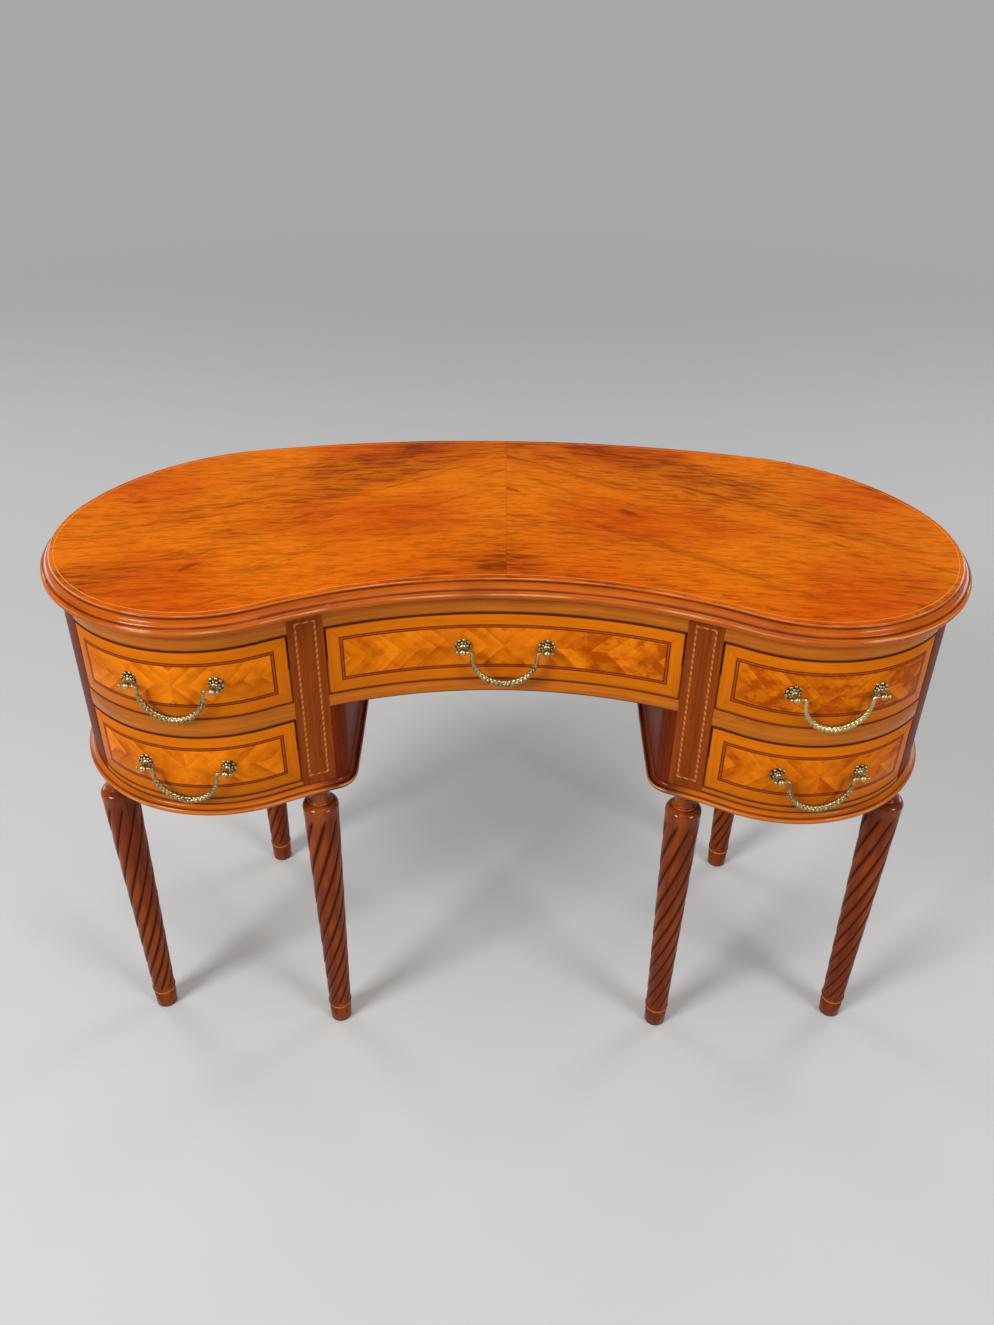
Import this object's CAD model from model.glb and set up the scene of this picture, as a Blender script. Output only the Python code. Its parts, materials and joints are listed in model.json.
"""Looks of a kidney-shaped writing desk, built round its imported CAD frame.

Satinwood and mahogany under French polish, five drawers with brass bails, six spiral-reeded legs.
Metres, in the frame of the CAD model: +Z up, the sitter at -Y.
"""
import json
import math
from collections import namedtuple

import bmesh
import bpy
from bpy.props import FloatProperty, FloatVectorProperty, IntProperty, PointerProperty
from mathutils import Matrix, Vector


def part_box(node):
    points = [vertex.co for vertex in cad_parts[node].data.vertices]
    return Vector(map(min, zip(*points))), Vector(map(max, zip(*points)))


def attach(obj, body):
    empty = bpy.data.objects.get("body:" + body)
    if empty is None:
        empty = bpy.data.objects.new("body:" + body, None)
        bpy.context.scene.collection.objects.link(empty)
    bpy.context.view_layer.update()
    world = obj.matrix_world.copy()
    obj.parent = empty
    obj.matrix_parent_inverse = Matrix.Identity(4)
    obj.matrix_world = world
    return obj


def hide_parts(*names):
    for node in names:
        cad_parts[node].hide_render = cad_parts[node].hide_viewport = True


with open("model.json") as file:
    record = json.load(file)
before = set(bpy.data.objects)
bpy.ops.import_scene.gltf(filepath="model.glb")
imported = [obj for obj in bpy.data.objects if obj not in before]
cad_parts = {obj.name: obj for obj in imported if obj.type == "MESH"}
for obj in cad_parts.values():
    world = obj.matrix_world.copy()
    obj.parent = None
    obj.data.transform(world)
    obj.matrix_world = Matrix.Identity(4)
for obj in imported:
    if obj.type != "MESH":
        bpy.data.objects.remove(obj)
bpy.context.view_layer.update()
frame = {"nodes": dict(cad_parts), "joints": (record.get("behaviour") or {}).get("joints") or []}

bl_info = {
    "name": "Kidney desk",
    "version": (1, 0, 0),
    "blender": (4, 5, 0),
    "location": "3D View > Sidebar > Desk",
    "description": "Dresses the CAD frame of a kidney-shaped writing desk",
    "category": "Add Mesh",
}

DRAWERS = ("left_upper", "left_lower", "right_upper", "right_lower", "centre")
SIDES = ("left", "right")
MIRROR = Matrix.Scale(-1, 4, (1, 0, 0))
Arc = namedtuple("Arc", "centre radius side start end")

# The pedestals' drawers lie beyond this much to the side, and the upper ones above this level
PEDESTAL_OUT, UPPER_LEVEL = 0.1, 0.6
# Edge map of a drawer front away from its face
OFF_FACE = (-0.1, -0.2)
# What the darkest shade leaves of a wood's red, green and blue
SHADE = (0.22, 0.14, 0.1)
# Of a corner's two edges, the share at which a quarter circle meets the line halfway between them
ROUND_SHARE = 0.293
# Levels of a leg: top of the foot, collar, top of the shaft, shoulder and top; radii of the shaft's ends
FOOT, COLLAR, SHAFT, SHOULDER, LEG_TOP = 0.034, 0.039, 0.426, 0.436, 0.461
THIN, THICK = 0.016, 0.0238
# Points nearer than this are one
WELD = 1e-6
# Leaves cast along half a bail and round it
LEAF_ROWS, LEAF_COLUMNS = 11, 5

FLOOR_REACH = 30.0
LAMP_AIM = Vector((0, 0, 0.55))
LAMPS = (("key", (-2.7, -2.4, 2.9), 1.3, 150),
         ("fill", (2.8, -2.5, 2.5), 1.3, 80),
         ("overhead", (0.0, -0.4, 5.5), 4.0, 85),
         ("rear_left", (-3.0, 2.4, 1.9), 1.5, 40),
         ("rear_right", (3.0, 2.4, 1.9), 1.5, 40))
CAMERA_PLACE = (-0.0094, -1.331, 1.474)
CAMERA_LENS, CAMERA_SENSOR = 31.83, 36
CAMERA_PITCH, CAMERA_ROLL = math.radians(35.21), math.radians(0.836)


def tone(red, green, blue):
    """Scene colour of a screen colour from 0 to 255."""
    return tuple(c / 12.92 if c <= 0.04045 else ((c + 0.055) / 1.055) ** 2.4
                 for c in (red / 255, green / 255, blue / 255))


def size_prop(name, description, default):
    return FloatProperty(name=name, description=description, default=default, unit="LENGTH", precision=4)


def share_prop(name, description, default):
    return FloatProperty(name=name, description=description, default=default)


def colour_prop(name, description, red, green, blue):
    return FloatVectorProperty(name=name, description=description, default=tone(red, green, blue),
                               subtype="COLOR", size=3, min=0, max=1)


# Properties


class DeskPlan(bpy.types.PropertyGroup):
    """Plan of the desk, the same arcs as in the CAD model."""
    half_width: size_prop("Half width", "Half the width of the top", 0.575)
    half_depth: size_prop("Half depth", "Half the depth of the top", 0.25)
    hollow_share: share_prop("Hollow", "Front hollow's place as a share of the half depth", 0.628)
    back_share: share_prop("Back", "Radius of the back as a share of the half width", 2.557)
    shoulder_share: share_prop("Shoulder", "Radius of the rear corners as a share of the half depth", 1.24)
    lobe_share: share_prop("Lobe", "Radius of the front lobes as a share of the half depth", 0.808)
    overhang: size_prop("Overhang", "How far the top stands over the carcass", 0.017)
    kneehole_share: share_prop("Kneehole", "Kneehole as a share of the hollow", 0.7514)
    stile_width: size_prop("Stile", "Width of the stiles", 0.044)
    drawer_run_share: share_prop("Drawer run", "Drawer opening as a share of the front", 0.5254)
    inner_corner: size_prop("Inner corner", "Radius of the pedestal's corner at the kneehole", 0.025)
    inner_wall_share: share_prop("Inner wall", "Radius of the inner wall as a share of the half depth", 40.0)
    inner_run_share: share_prop("Inner wall run", "Inner wall's run as a share of the half depth", 0.62)
    rear_corner_share: share_prop("Rear corner at", "Rear corner's place as a share of the shoulder", 0.82)
    rear_corner: size_prop("Rear corner", "Radius of the pedestal's rear corner", 0.018)


class DeskPieces(bpy.types.PropertyGroup):
    """Sizes of what is made here."""
    drawer_gap: size_prop("Drawer gap", "Gap round each drawer front", 0.001)
    front_thickness: size_prop("Front", "Thickness of the drawer fronts", 0.02)
    rail_depth: size_prop("Rail", "Depth of the rails", 0.024)
    ease: size_prop("Eased edge", "How far sharp edges are rubbed down", 0.0006)
    banding: size_prop("Banding", "Width of the banding round a drawer front", 0.0165)
    string_dark: size_prop("Dark string", "Width of each dark string", 0.0014)
    string_light: size_prop("Light string", "Width of the light string between", 0.0021)
    feather: size_prop("Feather", "Width of one strip of the feathered veneer", 0.021)
    reeds: IntProperty(name="Reeds", description="Spiral reeds round a leg", default=8, min=3)
    reed_turns: share_prop("Reed turns", "Turns of the reeds over the shaft", 1.08)
    reed_tightening: share_prop("Reed tightening", "How much faster the reeds turn where a leg is thin", 1.8)
    reed_depth: size_prop("Reed depth", "Depth of the grooves between the reeds", 0.0022)
    bail_half: size_prop("Bail", "Half the width of a bail", 0.04)
    bail_bend: size_prop("Bail bend", "Radius of the bends under the pins", 0.0035)
    bail_arm: size_prop("Bail arm", "Straight length of a bail's arms", 0.002)
    post_half: size_prop("Posts", "Half the distance between the posts", 0.0515)
    post_reach: size_prop("Post reach", "How far the pins stand in front of the rosettes' seats", 0.015)
    pin_radius: size_prop("Pin", "Radius of the pins", 0.0015)
    rosette: size_prop("Rosette", "Radius of the rosettes", 0.011)
    petals: IntProperty(name="Petals", description="Petals of a rosette", default=9, min=3)


class DeskColours(bpy.types.PropertyGroup):
    """Colours of the woods and metals."""
    top_gold: colour_prop("Top, gold", "Light figure of the top", 215, 108, 6)
    top_light: colour_prop("Top, light", "Bright ripples of the top", 224, 120, 10)
    top_orange: colour_prop("Top, orange", "Body colour of the top", 195, 79, 3)
    top_red: colour_prop("Top, red", "Warm patch behind the hollow front", 204, 74, 2)
    top_brown: colour_prop("Top, brown", "Dark streaks of the top", 112, 40, 2)
    front_gold: colour_prop("Front, gold", "Light strips of the drawer veneers", 228, 124, 8)
    front_amber: colour_prop("Front, amber", "Dark strips of the drawer veneers", 160, 68, 2)
    banding: colour_prop("Banding", "Banding round the drawer fronts", 204, 106, 6)
    string_dark: colour_prop("Dark string", "Dark strings", 66, 17, 5)
    string_light: colour_prop("Light string", "Light string between the dark ones", 160, 70, 18)
    rail: colour_prop("Rails", "Rails between the drawers", 188, 102, 12)
    edge: colour_prop("Edge", "Moulding round the top", 184, 86, 8)
    base: colour_prop("Base", "Moulding round the pedestals", 188, 96, 12)
    stile: colour_prop("Stiles", "Inner stiles", 142, 64, 14)
    panel: colour_prop("Panels", "Side panels, posts and back", 110, 40, 12)
    leg: colour_prop("Legs", "Legs", 112, 43, 10)
    line: colour_prop("Line", "Pale inlaid lines", 206, 146, 88)
    rope: colour_prop("Rope", "Light flecks of the stiles' inlaid lines", 194, 114, 52)
    lining: colour_prop("Lining", "Drawer linings and inner boards", 176, 130, 80)
    brass: colour_prop("Brass", "Rubbed brass", 226, 203, 144)
    patina: colour_prop("Patina", "Dark patina of the brass", 56, 44, 22)
    steel: colour_prop("Steel", "Screws", 128, 124, 118)
    backdrop: colour_prop("Backdrop", "The floor far from the desk", 166, 169, 168)
    floor: colour_prop("Floor", "Floor", 190, 190, 189)
    light: colour_prop("Light", "Even light all round", 115, 115, 116)


# Shader expressions


def arithmetic(operation, turned=False):
    """A method that joins a wire and other values in a Math node."""
    def method(self, *others):
        return self.finish.maths(operation, *((*others, self) if turned else (self, *others)))
    return method


class Wire:
    """A socket of a finish, on which arithmetic adds Math nodes."""

    def __init__(self, finish, socket):
        self.finish = finish
        self.socket = socket

    __add__ = arithmetic("ADD")
    __radd__ = arithmetic("ADD", turned=True)
    __sub__ = arithmetic("SUBTRACT")
    __rsub__ = arithmetic("SUBTRACT", turned=True)
    __mul__ = arithmetic("MULTIPLY")
    __rmul__ = arithmetic("MULTIPLY", turned=True)
    __truediv__ = arithmetic("DIVIDE")
    __rtruediv__ = arithmetic("DIVIDE", turned=True)
    __gt__ = arithmetic("GREATER_THAN")
    __lt__ = arithmetic("LESS_THAN")
    __abs__ = arithmetic("ABSOLUTE")
    floor = arithmetic("FLOOR")
    least = arithmetic("MINIMUM")
    most = arithmetic("MAXIMUM")


class Finish:
    """A material, or the world, and the expressions that make it."""

    def __init__(self, name, kept=bpy.data.materials, shader="Principled BSDF"):
        self.material = kept.new(name)
        self.material.use_nodes = True
        self.tree = self.material.node_tree
        self.shader = self.tree.nodes[shader]

    def node(self, kind, settings, inputs, output=0):
        made = self.tree.nodes.new(kind)
        for key, value in settings.items():
            setattr(made, key, value)
        for key, value in inputs.items():
            self.feed(made.inputs[key], value)
        return Wire(self, made.outputs[output])

    def feed(self, socket, value):
        if isinstance(value, Wire):
            self.tree.links.new(value.socket, socket)
        elif hasattr(value, "__len__") and len(value) == 3 and len(socket.default_value) == 4:
            socket.default_value = (*value, 1)
        else:
            socket.default_value = value

    def maths(self, operation, *values):
        return self.node("ShaderNodeMath", {"operation": operation}, dict(enumerate(values)))

    def place(self, kind="Object"):
        """Point of the surface in the desk's frame, as three values."""
        return self.split(self.node("ShaderNodeTexCoord", {}, {}, kind))

    def map(self, name):
        """A map that the mesh carries, as its two values."""
        return self.split(self.node("ShaderNodeUVMap", {"uv_map": name}, {}))[:2]

    def split(self, vector):
        parts = self.node("ShaderNodeSeparateXYZ", {}, {"Vector": vector})
        return [Wire(self, socket) for socket in parts.socket.node.outputs]

    def vector(self, x, y, z):
        return self.node("ShaderNodeCombineXYZ", {}, {"X": x, "Y": y, "Z": z})

    def noise(self, point, detail, roughness=0.55):
        """Cloudy pattern at a point, which is a vector or three values."""
        vector = point if isinstance(point, Wire) else self.vector(*point)
        return self.node("ShaderNodeTexNoise", {"noise_dimensions": "3D"},
                         {"Vector": vector, "Scale": 1, "Detail": detail, "Roughness": roughness})

    def smooth(self, value, low, high):
        """0 below low, 1 above high, smooth between."""
        return self.node("ShaderNodeMapRange", {"interpolation_type": "SMOOTHSTEP"},
                         {"Value": value, "From Min": low, "From Max": high})

    def band(self, value, low, high):
        """1 between two values."""
        return (value > low) * (value < high)

    def blend(self, factor, first, second, way="MIX"):
        return self.node("ShaderNodeMix", {"data_type": "RGBA", "blend_type": way},
                         {0: factor, 6: first, 7: second}, 2)

    def stain(self, base, colour, pattern, low, high, strength):
        """Lays a colour over a base where a pattern goes from low to high."""
        return self.blend(self.smooth(pattern, low, high) * strength, base, colour)

    def seen(self):
        """1 for rays that show a thing, 0 for those that only carry its light."""
        rays = self.node("ShaderNodeLightPath", {}, {}).socket.node.outputs
        shown = [Wire(self, rays[name]) for name in ("Is Camera Ray", "Is Glossy Ray", "Is Transmission Ray")]
        return (shown[0] + shown[1] + shown[2]).least(1)

    def bump(self, height, distance):
        return self.node("ShaderNodeBump", {}, {"Height": height, "Distance": distance, "Strength": 1})

    def done(self, **sockets):
        """Feeds the shader: Base_Color=... and so on."""
        for name, value in sockets.items():
            self.feed(self.shader.inputs[name.replace("_", " ")], value)
        return self.material


def dull(colour, share):
    """A darker colour of the same hue."""
    return tuple(c * share for c in colour)


def top_satinwood(colours):
    """Book-matched satinwood: a fine ripple, and brown streaks slanting to the middle of the back."""
    f = Finish("top_satinwood")
    x, y, _ = f.place()
    out = abs(x)
    hand = (x > 0) * 4
    slant = math.radians(31)
    along = out * math.cos(slant) - y * math.sin(slant)
    across = out * math.sin(slant) + y * math.cos(slant)
    sway = f.noise((along * 2.3, across * 3.4, hand * 0.02), detail=2) - 0.5
    across = across + sway * 0.06
    zone = f.noise((along * 1.7, across * 6.5, 5.2 + hand * 0.03), detail=3)
    streak = f.noise((along * 3.4, across * 42, 3.7 + hand * 0.05), detail=5, roughness=0.62)
    knot = f.noise((along * 12, across * 34, 8.1 + hand), detail=2)
    cloud = f.noise((out * 4.2, y * 5.2, 1.3), detail=2)
    tilt = y + out * 0.12 + sway * 0.05
    ripple = f.noise((out * 24, tilt * 180, 0.4 + hand * 0.1), detail=2, roughness=0.6)
    fine = f.noise((out * 60, tilt * 420, 6 + hand), detail=2)
    fibre = f.noise((along * 16, across * 620, 2.2), detail=3, roughness=0.7)
    colour = f.blend(f.smooth(cloud, 0.36, 0.62), colours.top_gold, colours.top_orange)
    warm = f.smooth(y + out * 0.35, 0.02, -0.16) * f.smooth(out, 0.42, 0.1)
    colour = f.blend(warm * 0.6, colour, colours.top_red)
    shade = f.smooth(zone, 0.44, 0.66)
    colour = f.blend(shade * 0.45, colour, colours.top_brown)
    colour = f.stain(colour, colours.top_brown, ripple, 0.5, 0.62, 0.3 + shade * 0.5)
    colour = f.stain(colour, colours.top_light, ripple, 0.47, 0.34, 0.25)
    colour = f.stain(colour, colours.top_brown, fine, 0.52, 0.64, 0.34)
    dark = f.smooth(streak, 0.54, 0.66) * (0.34 + shade * 0.6) + f.smooth(knot, 0.66, 0.76) * 0.6
    colour = f.blend(dark.least(0.85), colour, dull(colours.top_brown, 0.7))
    colour = f.stain(colour, colours.top_brown, fibre, 0.35, 0.7, 0.14)
    colour = f.stain(colour, dull(colours.top_brown, 0.6), out, 0.0009, 0.0002, 0.22)
    scratch = f.noise((out * 55 + y * 30, y * 150, hand), detail=6, roughness=0.75)
    rub = f.smooth(scratch, 0.71, 0.77)
    colour = f.blend(rub * 0.35, colour, colours.line)
    height = fibre * 0.5 - rub * 0.6
    return f.done(Base_Color=colour, Roughness=0.22 + fibre * 0.1 + rub * 0.12, Coat_Weight=0.015,
                  Coat_Roughness=0.1, Specular_IOR_Level=0.03, Normal=f.bump(height, 0.00008))


def front_veneer(colours, pieces):
    """Drawer front: mitred banding, a light string between two dark ones, and feathered strips inside."""
    f = Finish("front_veneer")
    x, _, z = f.place()
    u, v = f.map("Leaf")
    end, side = f.map("Edge")
    upper = z > UPPER_LEVEL
    on_right = x > PEDESTAL_OUT
    on_left = x < -PEDESTAL_OUT
    seed = (x > 0) * 5.3 + upper * 11.7
    inset = end.least(side)
    out = abs(u)
    rise = abs(v)
    along = out + rise
    across = out - rise
    laid = across / pieces.feather
    strip = laid.floor()
    pick = f.node("ShaderNodeTexWhiteNoise", {"noise_dimensions": "3D"},
                  {"Vector": f.vector(strip, (v > 0) * 3 + (u > 0) * 7, seed)})
    figure = f.noise((along * 16, across * 90, strip + seed), detail=4, roughness=0.6)
    flame = f.noise((along * 40, across * 26, strip * 0.3 + seed), detail=3)
    mottle = f.noise((u * 46, v * 70, seed + 2), detail=3, roughness=0.6)
    shade = pick * 0.5 + on_right * 0.16 - on_left * 0.08 + (laid - strip) * 0.26
    shade = shade + f.smooth(figure, 0.34, 0.7) * 0.24 - 0.12 + f.smooth(flame, 0.44, 0.66) * 0.26
    shade = shade + f.smooth(mottle, 0.46, 0.66) * (0.14 + on_right * upper * 0.4)
    colour = f.blend(shade.least(1), colours.front_gold, colours.front_amber)
    colour = f.stain(colour, dull(colours.front_amber, 0.5), figure, 0.66, 0.78, 0.5)
    joint = f.smooth(abs(laid - strip - 0.5), 0.475, 0.497)
    seam = f.smooth(rise, 0.0006, 0.0001)
    colour = f.blend(joint.most(seam) * 0.1, colour, colours.string_dark)
    upright, level = f.vector(v * 8, u * 240, seed), f.vector(u * 8, v * 240, seed)
    run = f.node("ShaderNodeMix", {"data_type": "VECTOR"}, {0: side < end, 4: upright, 5: level}, 1)
    grain = f.noise(run, detail=4, roughness=0.65)
    band = f.stain(colours.banding, dull(colours.banding, 0.55), grain, 0.3, 0.75, 0.5)
    band_edge = f.stain(dull(colours.banding, 0.5), dull(colours.banding, 0.2), grain, 0.3, 0.75, 0.5)
    band = f.stain(band, colours.string_dark, abs(end - side), 0.0006, 0.0001, 0.45)
    first = pieces.banding
    second = first + pieces.string_dark
    third = second + pieces.string_light
    last = third + pieces.string_dark
    colour = f.blend(inset > last, band, colour)
    rope = f.noise((u * 160, v * 160, seed), detail=2)
    light = f.stain(colours.string_light, dull(colours.string_light, 0.6), rope, 0.4, 0.6, 0.5)
    colour = f.blend(f.band(inset, second, third), colour, light)
    dark = f.band(inset, first, second) + f.band(inset, third, last)
    colour = f.blend(dark * 0.88, colour, colours.string_dark)
    grime = 0.5 + (v > 0) * 0.45
    colour = f.stain(colour, dull(colours.string_dark, 0.5), inset, 0.0028, 0.0008, grime)
    colour = f.blend(f.smooth(inset, -0.001, -0.006), colour, band_edge)
    return f.done(Base_Color=colour, Roughness=0.22 + grain * 0.12, Coat_Weight=0.015, Coat_Roughness=0.08,
                  Specular_IOR_Level=0.03, Normal=f.bump(figure * 0.4 - dark * 0.5, 0.00008))


def long_grain(name, colour, worn, rubbed, quirks=(), crests=(), span=None, beyond=None):
    """Polished wood with its grain along the Leaf map, dark in its quirks and rubbed pale along its crests.

    Outside a span of the map's length the wood is another colour.
    """
    f = Finish(name)
    u, v = f.map("Leaf")
    level = f.place()[2]
    if span:
        inside = f.smooth(u, span[0], span[0] + 0.04) * f.smooth(u, span[1] + 0.04, span[1])
        colour = f.blend(inside, beyond, colour)
    lean = f.noise((u * 3, v * 12, level * 4), detail=2) - 0.5
    grain = f.noise((u * 9, (v + lean * 0.006) * 260, 0.5), detail=5, roughness=0.65)
    cloud = f.noise((u * 14, v * 30, 4), detail=2)
    flecks = f.noise((u * 60, v * 500, 7), detail=2)
    shade = f.smooth(grain, 0.3, 0.72) * 0.4 + f.smooth(cloud, 0.45, 0.75) * 0.22
    shade = shade + f.smooth(flecks, 0.62, 0.75) * 0.2
    patch = f.smooth(f.noise((u * 11, v * 40, 2), detail=3), 0.42, 0.66)
    for place in quirks:
        shade = shade + f.smooth(abs(v - place), 0.0021, 0.0006) * (0.66 + patch * 0.3)
    base = f.blend(shade.least(0.95), colour, SHADE, "MULTIPLY")
    scuff = f.noise((u * 30, v * 300, 2), detail=5, roughness=0.7)
    rub = f.smooth(scuff, 0.64, 0.76) * rubbed
    for place in crests:
        rub = rub + f.smooth(abs(v - place), 0.0017, 0.0004) * (0.1 + patch * 0.85)
    base = f.blend(rub.least(0.8), base, worn)
    return f.done(Base_Color=base, Roughness=0.14 + grain * 0.12 + rub * 0.1, Coat_Weight=0.16,
                  Coat_Roughness=0.05, Specular_IOR_Level=0.07, Normal=f.bump(grain, 0.00008))


def upright_mahogany(name, colour, gloss, coat):
    """Polished mahogany with its grain upright and a ribbon figure across it."""
    f = Finish(name)
    x, y, z = f.place()
    flat = x * 0.8 + y * 0.6
    turned = y * 0.8 - x * 0.6
    sway = f.noise((x * 9, y * 9, z * 3), detail=2) - 0.5
    grain = f.noise(((flat + sway * 0.012) * 220, turned * 220, z * 6), detail=5, roughness=0.65)
    ribbon = f.noise((flat * 46, turned * 46, z * 2), detail=2)
    pores = f.noise((flat * 900, turned * 900, z * 45), detail=1)
    base = f.stain(colour, dull(colour, 0.45), grain, 0.3, 0.74, 0.7)
    base = f.stain(base, dull(colour, 0.6), ribbon, 0.4, 0.7, 0.4)
    base = f.stain(base, dull(colour, 0.2), pores, 0.62, 0.72, 0.55)
    height = grain * 0.3 - f.smooth(pores, 0.6, 0.72)
    return f.done(Base_Color=base, Roughness=gloss + grain * 0.1, Coat_Weight=coat, Coat_Roughness=0.06,
                  Specular_IOR_Level=0.02, Normal=f.bump(height, 0.0001))


def leg_mahogany(colours):
    """Turned mahogany, dark in the grooves of the reeds and rubbed along their crowns."""
    f = Finish("leg_mahogany")
    depth, height = f.map("Reed")
    x, y, z = f.place()
    grain = f.noise((x * 260, y * 260, z * 9), detail=5, roughness=0.65)
    ribbon = f.noise((x * 40, y * 40, z * 4), detail=2)
    pores = f.noise((x * 950, y * 950, z * 60), detail=1)
    base = f.stain(colours.leg, dull(colours.leg, 0.5), grain, 0.3, 0.74, 0.6)
    base = f.stain(base, dull(colours.leg, 0.62), ribbon, 0.42, 0.7, 0.45)
    base = f.stain(base, dull(colours.leg, 0.25), pores, 0.62, 0.72, 0.4)
    crown = f.smooth(depth, 0.2, 0) * f.smooth(ribbon, 0.4, 0.65)
    base = f.blend(crown * 0.34, base, colours.edge)
    base = f.stain(base, dull(colours.leg, 0.15), depth, 0.16, 0.85, 0.92)
    base = f.blend(f.band(height, FOOT - 0.002, FOOT + 0.0005) * 0.5, base, colours.line)
    ringed = f.smooth(height, SHAFT - 0.014, SHAFT + 0.002)
    return f.done(Base_Color=base, Roughness=0.15 + depth * 0.4 + grain * 0.08,
                  Coat_Weight=0.08 + ringed * 0.3 - depth * 0.08, Coat_Roughness=0.05,
                  Specular_IOR_Level=0.06, Normal=f.bump(grain, 0.0001))


def inlaid_line(colours):
    """Rope stringing: pale and brown flecks in turn along the line."""
    f = Finish("inlaid_line")
    x, y, z = f.place()
    fleck = 0.0085
    step = (z + abs(x) * 0.9) / fleck
    grain = f.noise((x * 500, y * 500, z * 500), detail=2)
    base = f.stain(colours.rope, dull(colours.stile, 0.5), abs(step - step.floor() - 0.5), 0.2, 0.3, 0.75)
    base = f.stain(base, dull(colours.rope, 0.55), grain, 0.45, 0.7, 0.3)
    return f.done(Base_Color=base, Roughness=0.26 + grain * 0.1, Coat_Weight=0.06, Specular_IOR_Level=0.12)


def edge_line(colours):
    """Pale stringing round the top."""
    f = Finish("edge_line")
    x, y, z = f.place()
    grain = f.noise((x * 70, y * 70, z), detail=4)
    base = f.blend(0.35 + f.smooth(grain, 0.35, 0.7) * 0.5, colours.line, colours.top_gold)
    return f.done(Base_Color=base, Roughness=0.24 + grain * 0.1, Coat_Weight=0.02, Specular_IOR_Level=0.1)


def lining_wood(colours):
    """Plain lining: long grain across the desk with open pores."""
    f = Finish("lining_wood")
    x, y, z = f.place()
    sway = f.noise((x * 4, y * 10, z * 10), detail=2) - 0.5
    grain = f.noise((x * 8, (y + sway * 0.02) * 190, z * 190), detail=5, roughness=0.65)
    pores = f.noise((x * 40, y * 800, z * 800), detail=1)
    base = f.stain(colours.lining, dull(colours.lining, 0.5), grain, 0.3, 0.72, 0.65)
    base = f.stain(base, dull(colours.lining, 0.3), pores, 0.6, 0.72, 0.5)
    height = grain - f.smooth(pores, 0.6, 0.72) * 0.5
    return f.done(Base_Color=base, Roughness=0.5 + grain * 0.2, Normal=f.bump(height, 0.00015))


def antique_brass(name, colours, cleaned):
    """Cast brass: bright where hands rub it, dark patina in the hollows and in blotches.

    On the upper right drawer some of the patina is cleaned off.
    """
    f = Finish(name)
    hollow = f.map("Relief")[0]
    x, y, z = f.place()
    spot = f.noise((x * 170, y * 170, z * 170), detail=4, roughness=0.65)
    pits = f.noise((x * 900, y * 900, z * 900), detail=2)
    dark = (hollow + f.smooth(spot, 0.45, 0.7) * 0.45).least(1)
    dark = dark * (1 - (x > PEDESTAL_OUT) * (z > UPPER_LEVEL) * cleaned)
    base = f.blend(dark, colours.brass, colours.patina)
    return f.done(Base_Color=base, Metallic=1, Roughness=0.2 + dark * 0.3 + pits * 0.1,
                  Normal=f.bump(pits - hollow * 0.5, 0.0002))


def plain_steel(colours):
    """Dull steel with fine turning marks."""
    f = Finish("plain_steel")
    x, y, z = f.place()
    marks = f.noise((x * 300, y * 300, z * 1500), detail=2)
    base = f.blend(marks * 0.6, colours.steel, dull(colours.steel, 0.5))
    return f.done(Base_Color=base, Metallic=1, Roughness=0.38 + marks * 0.15, Normal=f.bump(marks, 0.0001))


def studio_floor(colours):
    """Pale plain floor with a faint unevenness, of one even tone far from the desk."""
    f = Finish("studio_floor")
    x, y, _ = f.place()
    cloud = f.noise((x * 1.2, y * 1.2, 0), detail=3)
    base = f.blend(cloud * 0.12, colours.floor, dull(colours.floor, 0.9))
    f.done(Base_Color=base, Roughness=0.62 + cloud * 0.1, Specular_IOR_Level=0.2)
    far = f.smooth(f.maths("SQRT", x * x + y * y), 0.9, 4.5)
    glow = f.node("ShaderNodeEmission", {}, {"Color": colours.backdrop})
    surface = Wire(f, f.shader.outputs[0])
    mixed = f.node("ShaderNodeMixShader", {}, {0: far * f.seen(), 1: surface, 2: glow})
    f.feed(f.tree.nodes["Material Output"].inputs["Surface"], mixed)
    return f.material


def studio_world(colours):
    """Even grey light, with the floor's far tone shown low down all round."""
    f = Finish("studio", bpy.data.worlds, "Background")
    low = f.smooth(f.place("Generated")[2], 0.55, 0.15) * f.seen()
    return f.done(Color=f.blend(low, colours.light, colours.backdrop))


# Plan


def crossing(first, first_radius, second, second_radius):
    """Point where two circles cross, on the left of the line between them."""
    along = second - first
    gap = along.length
    reach = (gap ** 2 + first_radius ** 2 - second_radius ** 2) / (2 * gap)
    rise = math.sqrt(first_radius ** 2 - reach ** 2)
    along.normalize()
    return first + along * reach + Vector((-along.y, along.x)) * rise


def bearing(start, end):
    """Angle of the line from one point to another, between a quarter turn back and three quarters on."""
    angle = math.atan2(end.y - start.y, end.x - start.x)
    return angle if angle > -math.pi / 2 else angle + math.tau


def flipped(point):
    return Vector((-point.x, point.y))


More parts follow.
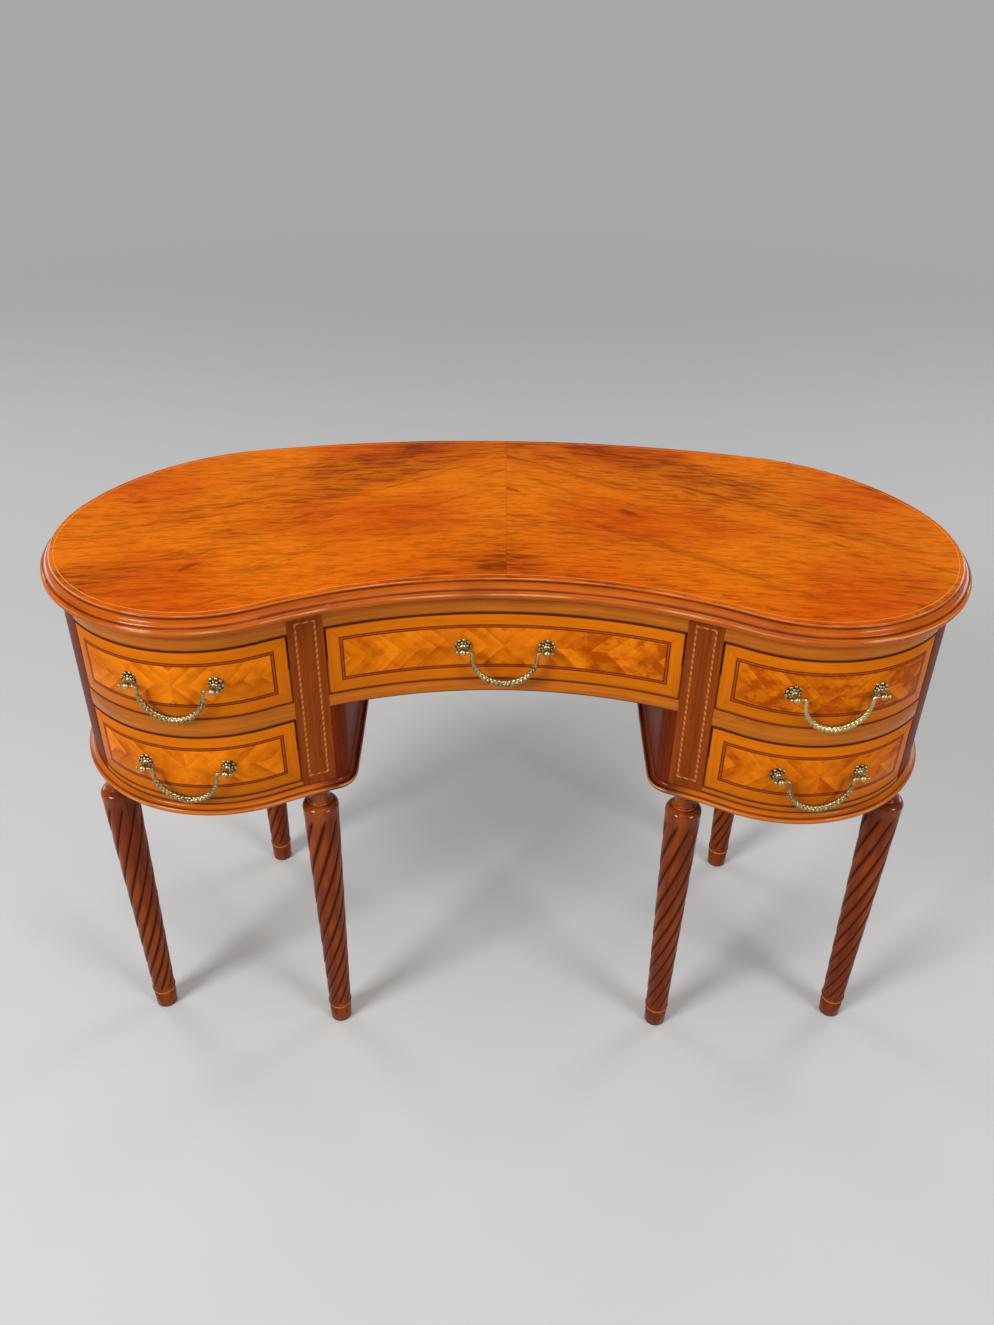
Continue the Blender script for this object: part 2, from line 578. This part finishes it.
def kidney(plan, inset):
    """Closed outline of the top, or of anything set in from its edge."""
    lobe_radius = plan.half_depth * plan.lobe_share
    back_radius = plan.half_width * plan.back_share
    shoulder_radius = plan.half_depth * plan.shoulder_share
    hollow_front = plan.half_depth * plan.hollow_share
    lobe = Vector((plan.half_width - lobe_radius, lobe_radius - plan.half_depth))
    back = Vector((0, plan.half_depth - back_radius))
    shoulder = crossing(back, back_radius - shoulder_radius, lobe, shoulder_radius - lobe_radius)
    step = lobe.y + hollow_front
    hollow_radius = (lobe.x ** 2 + step ** 2 - lobe_radius ** 2) / (2 * (lobe_radius - step))
    hollow = Vector((0, -hollow_front - hollow_radius))
    first = bearing(hollow, lobe)
    second = bearing(shoulder, lobe)
    third = bearing(back, shoulder)
    return [
        Arc(hollow, hollow_radius + inset, -1, math.pi - first, first),
        Arc(lobe, lobe_radius - inset, 1, first - math.pi, second),
        Arc(shoulder, shoulder_radius - inset, 1, second, third),
        Arc(back, back_radius - inset, 1, third, math.pi - third),
        Arc(flipped(shoulder), shoulder_radius - inset, 1, math.pi - third, math.pi - second),
        Arc(flipped(lobe), lobe_radius - inset, 1, math.pi - second, math.tau - first),
    ]


def pedestal(plan):
    """Closed outline of the right-hand pedestal, from the kneehole edge of its inner stile round."""
    hollow, lobe, shoulder = kidney(plan, plan.overhang)[:3]
    half = hollow.radius * math.cos(hollow.end) * plan.kneehole_share
    start = math.acos(half / hollow.radius)
    corner = hollow.centre + Vector((math.cos(start), math.sin(start))) * (hollow.radius + plan.inner_corner)
    wall_radius = plan.half_depth * plan.inner_wall_share
    wall = corner + Vector((wall_radius - plan.inner_corner, 0))
    wall_end = math.pi - plan.half_depth * plan.inner_run_share / wall_radius
    outward = Vector((math.cos(wall_end), math.sin(wall_end)))
    rear_start = shoulder.start + (shoulder.end - shoulder.start) * plan.rear_corner_share
    rear = spot(shoulder, rear_start, plan.rear_corner, 0).xy
    gap = wall + outward * wall_radius - rear
    sweep_radius = (gap.length ** 2 - plan.rear_corner ** 2) / (2 * (gap.dot(outward) - plan.rear_corner))
    behind = wall + outward * (wall_radius - sweep_radius)
    rear_end = bearing(behind, rear)
    return [
        hollow._replace(start=start),
        lobe,
        shoulder._replace(end=rear_start),
        Arc(rear, plan.rear_corner, 1, rear_start, rear_end),
        Arc(behind, sweep_radius, 1, rear_end, wall_end),
        Arc(wall, wall_radius, 1, wall_end, math.pi),
        Arc(corner, plan.inner_corner, 1, math.pi, math.pi + start),
    ]


def length(arc):
    return arc.radius * abs(arc.end - arc.start)


def stretch(path, start, end):
    """The arcs of a path that lie between two distances along it."""
    kept = []
    done = 0
    for arc in path:
        low = max(start - done, 0)
        high = min(end - done, length(arc))
        if high - low > 1e-6:
            turn = (arc.end - arc.start) / length(arc)
            kept.append(arc._replace(start=arc.start + turn * low, end=arc.start + turn * high))
        done += length(arc)
    return kept


def drawer_path(plan):
    """The drawers' faces of the right-hand pedestal."""
    faces = pedestal(plan)
    run = (length(faces[0]) + length(faces[1])) * plan.drawer_run_share
    return stretch(faces, plan.stile_width, plan.stile_width + run)


def centre_path(plan):
    """The hollow front between the inner stiles, from left to right."""
    hollow = pedestal(plan)[0]
    return [hollow._replace(start=math.pi - hollow.start, end=hollow.start)]


def spot(arc, angle, inset, z):
    reach = arc.radius - arc.side * inset
    return Vector((arc.centre.x + reach * math.cos(angle), arc.centre.y + reach * math.sin(angle), z))


def stations(path, step):
    """Places along a path: arc, angle and distance."""
    found = []
    done = 0
    for arc in path:
        count = max(2, math.ceil(length(arc) / step))
        for k in range(0 if not found else 1, count + 1):
            share = k / count
            found.append((arc, arc.start + (arc.end - arc.start) * share, done + length(arc) * share))
        done += length(arc)
    return found


# Profiles


def bow(first, middle, last, count):
    """Points of the circle through three points, without the first."""
    (ax, ay), (bx, by), (cx, cy) = first, middle, last
    twice = 2 * (ax * (by - cy) + bx * (cy - ay) + cx * (ay - by))
    a, b, c = ax * ax + ay * ay, bx * bx + by * by, cx * cx + cy * cy
    ux = (a * (by - cy) + b * (cy - ay) + c * (ay - by)) / twice
    uy = (a * (cx - bx) + b * (ax - cx) + c * (bx - ax)) / twice
    radius = math.hypot(ax - ux, ay - uy)
    start, middle, end = (math.atan2(y - uy, x - ux) for x, y in (first, middle, last))
    turn = (end - start) % math.tau
    if (middle - start) % math.tau > turn:
        turn -= math.tau
    angles = [start + turn * (k + 1) / count for k in range(count)]
    return [(ux + radius * math.cos(t), uy + radius * math.sin(t)) for t in angles]


def eased(corners, ease):
    """A closed profile with every corner rubbed round."""
    points = []
    count = len(corners)
    for k, corner in enumerate(corners):
        here = Vector(corner)
        before = (Vector(corners[k - 1]) - here).normalized() * ease
        after = (Vector(corners[(k + 1) % count]) - here).normalized() * ease
        points.append(tuple(here + before))
        points.append(tuple(here + (before + after) * ROUND_SHARE))
        points.append(tuple(here + after))
    return points


def held(value):
    """A value kept between 0 and 1."""
    return min(max(value, 0), 1)


def girth(profile):
    """Distances along a closed profile to each of its points."""
    run = [0]
    for first, second in zip(profile, profile[1:] + profile[:1]):
        run.append(run[-1] + math.dist(first, second))
    return run


# Meshes


def added(name, data):
    """A new object in the scene."""
    made = bpy.data.objects.new(name, data)
    bpy.context.scene.collection.objects.link(made)
    return made


def heights(node):
    """Lowest and highest level of a CAD node."""
    return [corner.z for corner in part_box(node)]


def rings(stops, around, shape):
    """Rings of points round a row of stops, and the relief at each point. shape gives both at an angle."""
    made = [[shape(stop, math.tau * j / around) for j in range(around)] for stop in stops]
    return tuple([[pair[k] for pair in ring] for ring in made] for k in (0, 1))


class Shell:
    """Points, faces and maps of one piece before it becomes a mesh."""

    def __init__(self, *names):
        self.points = []
        self.faces = []
        self.maps = {name: [] for name in names}

    def lattice(self, rows, values, wrap_along=False, place=Matrix()):
        """Adds closed rings of points joined in order. values gives each map's value at a row and column."""
        base = len(self.points)
        count = len(rows)
        around = len(rows[0])
        for row in rows:
            self.points += [place @ Vector(point) for point in row]
        for i in range(count if wrap_along else count - 1):
            for j in range(around):
                corners = ((i, j), (i + 1, j), (i + 1, j + 1), (i, j + 1))
                self.faces.append([base + (r % count) * around + c % around for r, c in corners])
                self.keep(values, corners)
        if not wrap_along:
            for i in (0, count - 1):
                corners = [(i, j) for j in range(around)]
                if i == 0:
                    corners.reverse()
                self.faces.append([base + r * around + c for r, c in corners])
                self.keep(values, corners)

    def keep(self, values, corners):
        for name, value in values.items():
            self.maps[name] += [value(*corner) for corner in corners]

    def piece(self, name, material, body, slot, *nodes, crease=40):
        """Makes the object, shades it, and sets it on its body in place of CAD nodes."""
        mesh = bpy.data.meshes.new(name)
        mesh.from_pydata(self.points, [], self.faces)
        for map_name, values in self.maps.items():
            layer = mesh.uv_layers.new(name=map_name)
            layer.uv.foreach_set("vector", [number for value in values for number in value])
        shaped = bmesh.new()
        shaped.from_mesh(mesh)
        bmesh.ops.remove_doubles(shaped, verts=shaped.verts, dist=WELD)
        bmesh.ops.recalc_face_normals(shaped, faces=shaped.faces)
        shaped.to_mesh(mesh)
        shaped.free()
        mesh.shade_smooth()
        mesh.set_sharp_from_angle(angle=math.radians(crease))
        mesh.materials.append(material)
        made = added(name, mesh)
        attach(made, body)
        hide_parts(*nodes)


def sweep(shell, path, profile, step=0.006, closed=False, ease=0.0, place=Matrix(), edge_of=None):
    """Adds a profile run along a path. Open ends are rubbed down by ease."""
    places = stations(path, step)
    whole = places[-1][2]
    if closed:
        places.pop()
    elif ease:
        first, last = places[0], places[-1]
        near = stretch(path, ease, whole - ease)
        places[0] = (near[0], near[0].start, ease)
        places[-1] = (near[-1], near[-1].end, whole - ease)
        places = [first] + places + [last]
    low = Vector((min(p[0] for p in profile) + ease, min(p[1] for p in profile) + ease))
    high = Vector((max(p[0] for p in profile) - ease, max(p[1] for p in profile) - ease))
    rows = []
    for k, (arc, angle, _) in enumerate(places):
        ring = profile
        if ease and not closed and k in (0, len(places) - 1):
            ring = [(min(max(i, low.x), high.x), min(max(z, low.y), high.y)) for i, z in profile]
        rows.append([spot(arc, angle, inset, z) for inset, z in ring])
    runs = [p[2] for p in places] + [whole]
    rounds = girth(profile)

    def leaf(i, j):
        return runs[i], rounds[j]

    if edge_of is None:
        shell.lattice(rows, {"Leaf": leaf}, closed, place)
        return
    bottom = min(p[1] for p in profile)
    top = max(p[1] for p in profile)
    middle = (bottom + top) / 2

    def face_leaf(i, j):
        return runs[i] - whole / 2, profile[j % len(profile)][1] - middle

    def edge(i, j):
        inset, z = profile[j % len(profile)]
        if inset > edge_of:
            return OFF_FACE
        return min(runs[i], whole - runs[i]), min(z - bottom, top - z)

    shell.lattice(rows, {"Leaf": face_leaf, "Edge": edge}, closed, place)


def side_place(side):
    return MIRROR if side == "left" else Matrix()


def paint(material, *nodes):
    """Gives CAD nodes a finish."""
    for node in nodes:
        mesh = frame["nodes"][node].data
        mesh.materials.clear()
        mesh.materials.append(material)


# Operators


class DeskOperator:
    """What the desk's operators share: execute hands the sizes and colours to make."""
    bl_options = {"REGISTER"}

    def execute(self, context):
        scene = context.scene
        self.make(scene.desk_plan, scene.desk_pieces, scene.desk_colours)
        return {"FINISHED"}


class DESK_OT_stage(DeskOperator, bpy.types.Operator):
    """Floor, lamps, world and the camera at the photograph's angle"""
    bl_idname = "desk.stage"
    bl_label = "Stage"

    def make(self, plan, pieces, colours):
        mesh = bpy.data.meshes.new("floor")
        corners = ((-1, -1), (1, -1), (1, 1), (-1, 1))
        mesh.from_pydata([(x * FLOOR_REACH, y * FLOOR_REACH, 0) for x, y in corners], [], [(0, 1, 2, 3)])
        mesh.materials.append(studio_floor(colours))
        added("floor", mesh)
        bpy.context.scene.world = studio_world(colours)
        for name, where, width, power in LAMPS:
            lamp = bpy.data.lights.new(name, "AREA")
            lamp.energy = power
            lamp.size = width
            made = added(name, lamp)
            made.location = where
            made.rotation_euler = (LAMP_AIM - made.location).to_track_quat("-Z", "Y").to_euler()
        camera = bpy.data.cameras.new("camera")
        camera.lens = CAMERA_LENS
        camera.sensor_width = CAMERA_SENSOR
        ahead = Vector((0, math.cos(CAMERA_PITCH), -math.sin(CAMERA_PITCH)))
        right = Vector((1, 0, 0))
        up = right.cross(ahead)
        turned_right = right * math.cos(CAMERA_ROLL) + up * math.sin(CAMERA_ROLL)
        turned_up = up * math.cos(CAMERA_ROLL) - right * math.sin(CAMERA_ROLL)
        eye = added("camera", camera)
        eye.matrix_world = Matrix((turned_right, turned_up, -ahead)).transposed().to_4x4()
        eye.location = CAMERA_PLACE
        bpy.context.scene.camera = eye
        bpy.context.scene.view_settings.view_transform = "Standard"


class DESK_OT_top(DeskOperator, bpy.types.Operator):
    """Veneered top, its pale line and the moulding round its edge"""
    bl_idname = "desk.top"
    bl_label = "Top"

    def make(self, plan, pieces, colours):
        paint(top_satinwood(colours), "top_veneer_left", "top_veneer_right")
        paint(edge_line(colours), "top_line")
        paint(lining_wood(colours), "top_board")
        paint(plain_steel(colours), "top_screws")
        low, high = heights("top_edge_moulding")
        back = 0.022
        nose = (0.0045, low + 0.013)
        cove = (0.006, high - 0.0095)
        bead = (0.011, high - 0.0025)
        flat = (0.014, high)
        profile = [(back, high), (back, low), (0.0076, low)]
        profile += bow((0.007, low + 0.0003), (0, low + 0.0065), nose, 10)
        quirk = len(profile) - 1
        profile += [cove]
        profile += bow(cove, (0.0095, high - 0.0074), bead, 6)
        groove = len(profile) - 1
        profile += bow((0.0108, high - 0.0022), (0.0119, high - 0.00075), flat, 5)
        shell = Shell("Leaf")
        sweep(shell, kidney(plan, 0), profile, closed=True)
        along = girth(profile)
        finish = long_grain("edge_moulding", colours.edge, colours.line, 0.5,
                            (along[quirk], along[groove]), (along[-3], along[quirk - 3]))
        shell.piece("edge_moulding", finish, "carcass", "edge_moulding", "top_edge_moulding", crease=32)


class DESK_OT_carcass(DeskOperator, bpy.types.Operator):
    """Stiles with their inlaid lines, side panels, posts, apron and inner boards"""
    bl_idname = "desk.carcass"
    bl_label = "Carcass"

    def make(self, plan, pieces, colours):
        stile = upright_mahogany("stile_mahogany", colours.stile, 0.24, 0.04)
        inside = upright_mahogany("kneehole_mahogany", colours.panel, 0.32, 0.02)
        outside = upright_mahogany("side_mahogany", colours.panel, 0.3, 0.01)
        for side in SIDES:
            paint(stile, side + "_inner_stile")
            paint(inside, side + "_inner_panel")
            paint(outside, *(side + name for name in ("_outer_stile", "_rear_post", "_side_panel")))
        paint(outside, "back_apron")
        paint(inlaid_line(colours), "stile_inlays")
        inner = [side + name for side in SIDES for name in ("_bottom_board", "_dust_board")]
        paint(lining_wood(colours), "centre_partitions", "drawer_runners", *inner)


class DESK_OT_rails(DeskOperator, bpy.types.Operator):
    """Curved rails between the drawers and the mouldings round the pedestals"""
    bl_idname = "desk.rails"
    bl_label = "Rails and base mouldings"

    def make(self, plan, pieces, colours):
        front = drawer_path(plan)
        for side in SIDES:
            for name in ("base_rail", "mid_rail", "top_rail"):
                self.rail(side + "_" + name, front, pieces, colours, side_place(side))
        for name in ("centre_top_rail", "centre_bottom_rail"):
            self.rail(name, centre_path(plan), pieces, colours, Matrix())
        lit = (0.0, 3 * plan.stile_width + sum(length(arc) for arc in front))
        for side in SIDES:
            node = side + "_base_moulding"
            low, high = heights(node)
            back = 0.0025
            shoulder = (-0.006, low + 0.0085)
            step = (-0.004, low + 0.0088)
            profile = [(back, high), (back, low), (-0.0054, low)]
            profile += bow((-0.006, low + 0.0003), (-0.009, low + 0.0044), shoulder, 8)
            quirk = len(profile) - 1
            profile += [step]
            profile += bow(step, (-0.0012, low + 0.0102), (0, high), 5)
            shell = Shell("Leaf")
            sweep(shell, pedestal(plan), profile, closed=True, place=side_place(side))
            along = girth(profile)
            moulded = long_grain(side + "_base_moulding", colours.base, colours.line, 0.5,
                                 (along[quirk], along[-2]), (along[quirk - 3],), lit, colours.panel)
            shell.piece(side + "_base_bead", moulded, "carcass", "satinwood_rail", node, crease=32)

    def rail(self, node, path, pieces, colours, place):
        low, high = heights(node)
        deep = pieces.rail_depth
        profile = eased([(deep, low), (0, low), (0, high), (deep, high)], pieces.ease)
        along = girth(profile)
        lower_edge, upper_edge = along[4], along[7]
        shell = Shell("Leaf")
        sweep(shell, path, profile, place=place)
        finish = long_grain(node + "_satinwood", colours.rail, colours.line, 0.15, (lower_edge, upper_edge))
        shell.piece(node + "_veneered", finish, "carcass", "satinwood_rail", node)


class DESK_OT_drawers(DeskOperator, bpy.types.Operator):
    """Veneered drawer fronts and their boxes"""
    bl_idname = "desk.drawers"
    bl_label = "Drawers"

    def make(self, plan, pieces, colours):
        finish = front_veneer(colours, pieces)
        lining = lining_wood(colours)
        for drawer in DRAWERS:
            node = drawer + "_drawer_front"
            low, high = heights(node)
            path = centre_path(plan) if drawer == "centre" else drawer_path(plan)
            whole = sum(length(arc) for arc in path)
            path = stretch(path, pieces.drawer_gap, whole - pieces.drawer_gap)
            deep = pieces.front_thickness
            profile = eased([(deep, low), (0, low), (0, high), (deep, high)], pieces.ease)
            past_low_corners = 6
            profile.insert(past_low_corners, (0, (low + high) / 2))
            shell = Shell("Leaf", "Edge")
            sweep(shell, path, profile, ease=pieces.ease, place=side_place(drawer.split("_")[0]),
                  edge_of=pieces.ease * 1.01)
            shell.piece(drawer + "_front_veneered", finish, drawer + "_drawer", "satinwood_front", node)
            paint(lining, drawer + "_drawer_box")


def taper(level):
    """Radius of a leg's shaft at a level."""
    return THIN + (THICK - THIN) * held((level - COLLAR) / (SHAFT - COLLAR))


def leg_profile():
    """Radii and levels of a turned leg, from its foot up."""
    stops = [(0.0138, 0), (0.015, 0.0012), (0.0161, FOOT - 0.0012), (0.0154, FOOT - 0.0004), (0.0155, FOOT)]
    stops += bow((0.0155, FOOT), (0.0171, FOOT + 0.0025), (THIN, COLLAR), 7)
    steps = 130
    levels = [COLLAR + (SHAFT - COLLAR) * k / steps for k in range(1, steps + 1)]
    stops += [(taper(level), level) for level in levels]
    stops += bow((THICK, SHAFT), (0.0222, SHAFT + 0.0068), (0.0176, SHOULDER - 0.0004), 8)
    stops += [(0.0148, SHOULDER)]
    stops += bow((0.014, SHOULDER + 0.0002), (0.0164, SHOULDER + 0.0025), (0.0144, SHOULDER + 0.005), 7)
    stops += bow((0.014, SHOULDER + 0.0052), (0.0152, SHOULDER + 0.0064), (0.014, SHOULDER + 0.0076), 5)
    stops += bow((0.0138, SHOULDER + 0.008), (0.0126, SHOULDER + 0.0145), (0.0138, LEG_TOP - 0.0042), 7)
    stops += bow((0.0141, LEG_TOP - 0.004), (0.0159, LEG_TOP - 0.002), (0.0141, LEG_TOP), 7)
    return stops


def reed_leg(pieces):
    """Rings of a turned leg with spiral reeds, and the depth of its grooves."""
    sharpness, full_depth_at = 4, 0.02
    fade_in, plain_top, fade_out = 0.008, 0.006, 0.016

    def wound(radius):
        return radius ** (1 - pieces.reed_tightening)

    def shape(stop, angle):
        radius, level = stop
        fade = held((level - COLLAR) / fade_in) * held((SHAFT - plain_top - level) / fade_out)
        fade = fade * fade * (3 - 2 * fade)
        turns = pieces.reed_turns * (wound(taper(level)) - wound(THIN)) / (wound(THICK) - wound(THIN))
        phase = ((angle / math.tau - turns) * pieces.reeds) % 1
        groove = abs(2 * phase - 1) ** sharpness * fade
        reach = radius - pieces.reed_depth * groove * radius / full_depth_at
        return (math.cos(angle) * reach, math.sin(angle) * reach, level), groove

    return rings(leg_profile(), pieces.reeds * 20, shape)


class DESK_OT_legs(DeskOperator, bpy.types.Operator):
    """Six turned legs with spiral reeds"""
    bl_idname = "desk.legs"
    bl_label = "Legs"

    def make(self, plan, pieces, colours):
        finish = leg_mahogany(colours)
        rows, grooves = reed_leg(pieces)
        around = len(rows[0])

        def reed(i, j):
            return grooves[i][j % around], rows[i][0][2]

        for side in SIDES:
            for name in ("inner_front", "outer_front", "rear"):
                node = side + "_" + name + "_leg"
                low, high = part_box(node)
                middle = (low + high) / 2
                shell = Shell("Reed")
                shell.lattice(rows, {"Reed": reed}, place=Matrix.Translation((middle.x, middle.y, 0)))
                shell.piece(node + "_reeded", finish, "carcass", "leg_mahogany", node, crease=50)


def handle_place(drawer):
    """Frame of a handle: its pivot, X along the pins and -Y out of the face."""
    joint = next(j for j in frame["joints"] if j["child"] == drawer + "_bail")
    along = -Vector(joint["axis"]).normalized()
    up = Vector((0, 0, 1))
    place = Matrix((along, up.cross(along), up)).transposed().to_4x4()
    place.translation = joint["pos_m"]
    return place


def bail_line(pieces):
    """Stops along a bail: ball ends, pins, bends, and a half circle that swells towards its middle.

    Each has its place across and up, its radius and, on the half circle, the share of it that is done.
    """
    half, bend, arm, pin = pieces.bail_half, pieces.bail_bend, pieces.bail_arm, pieces.pin_radius
    end = pieces.post_half + 0.0068
    ball, tip, stem, swelling = 0.0022, 0.0004, 0.0023, 0.0021
    line = []
    for k in range(8):
        turn = math.pi * k / 8
        line.append((-end - ball * math.cos(turn), 0, max(ball * math.sin(turn), tip), None))
    line += [(-end + 0.002, 0, pin, None), (-half - bend - 0.0008, 0, pin, None)]
    line += [(-half - bend, 0, 0.0021, None)]
    for k in range(1, 9):
        turn = math.pi / 2 * k / 8
        line.append((-half - bend + bend * math.sin(turn), -bend + bend * math.cos(turn), 0.0022, None))
    line.append((-half, -bend - arm, stem, None))
    mirrored = [(-x, z, radius, None) for x, z, radius, _ in reversed(line)]
    count = 150
    for k in range(1, count):
        turn = math.pi * k / count
        swell = 0.5 - 0.5 * math.cos(2 * turn)
        line.append((-half * math.cos(turn), -bend - arm - half * math.sin(turn),
                     stem + swelling * swell ** 0.6, k / count))
    return line + mirrored


def leaf_relief(share, angle):
    """How far the laurel leaves of a bail stand out, overlapping towards its middle."""
    toward = 1 - abs(2 * share - 1)
    column = angle * LEAF_COLUMNS / math.tau
    row = toward * LEAF_ROWS + 0.5 * (math.floor(column) % 2)
    across = abs(column % 1 - 0.5) * 2
    along = (row + across * 0.45) % 1
    ridge = (1 - along) * (1 - across ** 2 * 0.7)
    return (ridge - 0.45) * min(1, min(share, 1 - share) * 8)


def leaf_bail(pieces):
    """Rings of a bail cast with laurel leaves, and how hollow each point is."""
    line = bail_line(pieces)
    around, boldness = 28, 0.34
    side = Vector((0, 1, 0))

    def shape(k, angle):
        x, z, radius, share = line[k]
        before, after = line[max(k - 1, 0)], line[min(k + 1, len(line) - 1)]
        ahead = Vector((after[0] - before[0], 0, after[1] - before[1])).normalized()
        relief = 0 if share is None else leaf_relief(share, angle)
        outward = side * math.cos(angle) + ahead.cross(side) * math.sin(angle)
        return Vector((x, 0, z)) + outward * (radius * (1 + boldness * relief)), held(0.42 - relief * 1.1)

    return rings(range(len(line)), around, shape)


def relief_map(rows, hollows):
    """Values of the Relief map: how hollow a point is, and how far along its ring is."""
    around = len(rows[0])
    return {"Relief": lambda i, j: (hollows[i][j % around], i / len(rows))}


class DESK_OT_bails(DeskOperator, bpy.types.Operator):
    """Swinging bails, cast with laurel leaves"""
    bl_idname = "desk.bails"
    bl_label = "Bails"

    def make(self, plan, pieces, colours):
        finish = antique_brass("bail_brass", colours, 0.5)
        rows, hollows = leaf_bail(pieces)
        for drawer in DRAWERS:
            shell = Shell("Relief")
            shell.lattice(rows, relief_map(rows, hollows), place=handle_place(drawer))
            shell.piece(drawer + "_bail_leafed", finish, drawer + "_bail", "antique_brass",
                        drawer + "_drawer_bail", crease=60)


def rosette_stops(pieces):
    """Stops over a rosette, its neck and head: radius, place back, depth of the petals and their shift."""
    back, neck, head = pieces.post_reach, 0.003, 0.0046
    petals = [(0.9, -0.003, 0, 0), (0.98, 0.0004, 1, 0), (1, 0.0012, 1, 0), (0.95, 0.002, 1, 0),
              (0.84, 0.0026, 1, 0), (0.73, 0.0024, 0.9, 0), (0.7, 0.0026, 0.8, 0.5), (0.67, 0.0038, 1, 0.5),
              (0.58, 0.0046, 1, 0.5), (0.48, 0.0045, 0.7, 0.5), (0.4, 0.004, 0.2, 0.5), (0.36, 0.005, 0, 0)]
    stops = [(pieces.rosette * share, back - out, petal, shift) for share, out, petal, shift in petals]
    stops += [(neck, back - 0.0056, 0, 0), (0.0028, 0.0042, 0, 0)]
    turns = [math.pi * k / 9 for k in range(1, 9)]
    return stops + [(head * math.sin(turn), head * math.cos(turn), 0, 0) for turn in turns]


def rosette(pieces):
    """Rings from the back of a rosette, over its petals, along the neck and round the head."""
    crevices = ((0.69, 0.75), (0.38, 0.42))
    notch, lift, roundness = 0.18, 0.0011, 0.7

    def shape(stop, angle):
        radius, back, petal, shift = stop
        gap = petal * (1 - abs(math.cos(angle * pieces.petals / 2 + shift * math.pi)) ** roundness)
        reach = radius * (1 - notch * gap)
        tier = 0.7 if any(low < radius / pieces.rosette < high for low, high in crevices) else 0.28
        point = (reach * math.cos(angle), back + lift * gap, reach * math.sin(angle))
        return point, min(1, 1.1 * gap + tier)

    return rings(rosette_stops(pieces), pieces.petals * 8, shape)


class DESK_OT_posts(DeskOperator, bpy.types.Operator):
    """Handle posts with flower rosettes and round heads"""
    bl_idname = "desk.posts"
    bl_label = "Handle posts"

    def make(self, plan, pieces, colours):
        finish = antique_brass("rosette_brass", colours, 0.0)
        rows, hollows = rosette(pieces)
        for drawer in DRAWERS:
            shell = Shell("Relief")
            for hand in (-1, 1):
                aside = Matrix.Translation((hand * pieces.post_half, 0, 0))
                shell.lattice(rows, relief_map(rows, hollows), place=handle_place(drawer) @ aside)
            shell.piece(drawer + "_rosettes", finish, drawer + "_drawer", "antique_brass",
                        drawer + "_drawer_handle_posts", crease=50)


class DESK_PT_sidebar(bpy.types.Panel):
    """Lists the desk's pieces and sizes"""
    bl_idname = "DESK_PT_sidebar"
    bl_label = "Kidney desk"
    bl_space_type = "VIEW_3D"
    bl_region_type = "UI"
    bl_category = "Desk"

    def draw(self, context):
        for operator in OPERATORS:
            self.layout.operator(operator.bl_idname)
        for group in (context.scene.desk_plan, context.scene.desk_pieces, context.scene.desk_colours):
            column = self.layout.column()
            for name in group.bl_rna.properties.keys():
                if name not in ("rna_type", "name"):
                    column.prop(group, name)


GROUPS = {"desk_plan": DeskPlan, "desk_pieces": DeskPieces, "desk_colours": DeskColours}
OPERATORS = (DESK_OT_stage, DESK_OT_top, DESK_OT_carcass, DESK_OT_rails, DESK_OT_drawers, DESK_OT_legs,
             DESK_OT_posts, DESK_OT_bails)


def register():
    for made in (*GROUPS.values(), *OPERATORS, DESK_PT_sidebar):
        bpy.utils.register_class(made)
    for name, group in GROUPS.items():
        setattr(bpy.types.Scene, name, PointerProperty(type=group))


def unregister():
    for name in GROUPS:
        delattr(bpy.types.Scene, name)
    for made in reversed((*GROUPS.values(), *OPERATORS, DESK_PT_sidebar)):
        bpy.utils.unregister_class(made)


def main():
    register()
    bpy.ops.desk.stage()
    bpy.ops.desk.top()
    bpy.ops.desk.carcass()
    bpy.ops.desk.rails()
    bpy.ops.desk.drawers()
    bpy.ops.desk.legs()
    bpy.ops.desk.posts()
    bpy.ops.desk.bails()


if __name__ == "__main__":
    main()
